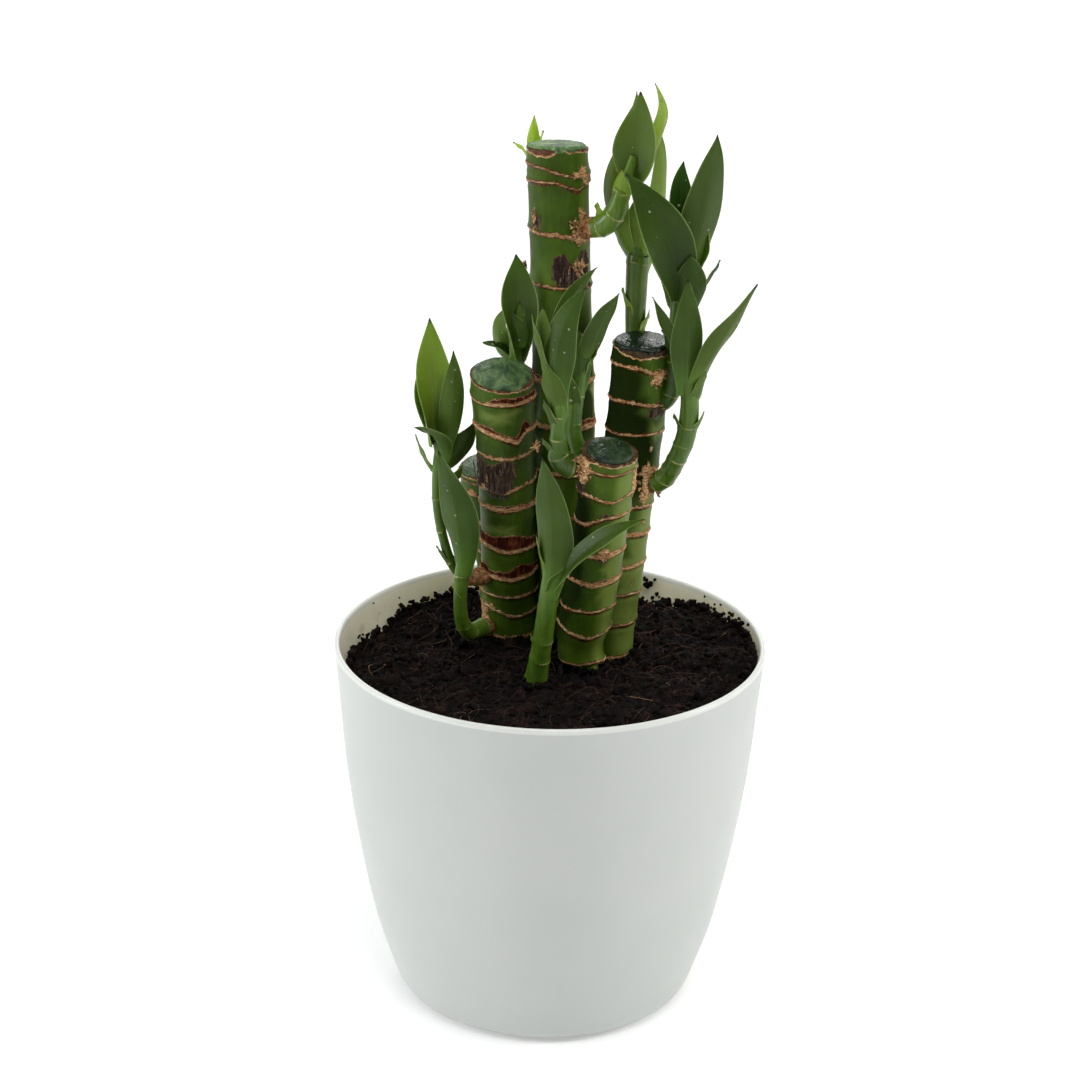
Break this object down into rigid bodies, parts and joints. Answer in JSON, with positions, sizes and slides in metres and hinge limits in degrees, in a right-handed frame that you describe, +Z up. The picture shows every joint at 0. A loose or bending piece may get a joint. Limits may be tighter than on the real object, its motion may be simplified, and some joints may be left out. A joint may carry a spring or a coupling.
{
  "type": "potted lucky bamboo",
  "caption": "Cluster of cut lucky bamboo canes of different heights with waxed tops and leafy side shoots, in a round tapered pot of dark soil.",
  "frame": {"origin": "centre of the pot's foot, on the pot's axis, at the height of the surface it stands on", "axes": "+Z up along the pot's axis, +X to the pictured right, +Y away from the pictured front"},
  "size_m": [0.15, 0.15, 0.3231],
  "materials": {
    "pot": "satin off-white plastic with a glossier lip",
    "soil": "dark crumbly peat and coconut fibre, rough",
    "cane": "smooth green rind with brown ring scars, satin",
    "wax": "dark green sealing wax, glossy and streaked",
    "leaf": "leathery green blade, satin"
  },
  "bodies": {
    "root": {"pot": "pot", "soil": "soil", "tall_cane": "cane", "tall_cane_wax": "wax", "left_cane": "cane", "left_cane_wax": "wax", "front_cane": "cane", "front_cane_wax": "wax", "right_cane": "cane", "right_cane_wax": "wax", "short_cane": "cane", "short_cane_wax": "wax", "tall_side_shoot": "leaf", "tall_crown_shoot": "leaf", "right_back_shoot": "leaf", "right_upper_shoot": "leaf", "right_lower_shoot": "leaf", "front_outer_shoot": "leaf", "front_inner_shoot": "leaf", "left_back_shoot": "leaf", "left_foot_shoot": "leaf", "left_side_shoot": "leaf", "soil_shoot": "leaf"}
  },
  "joints": []
}
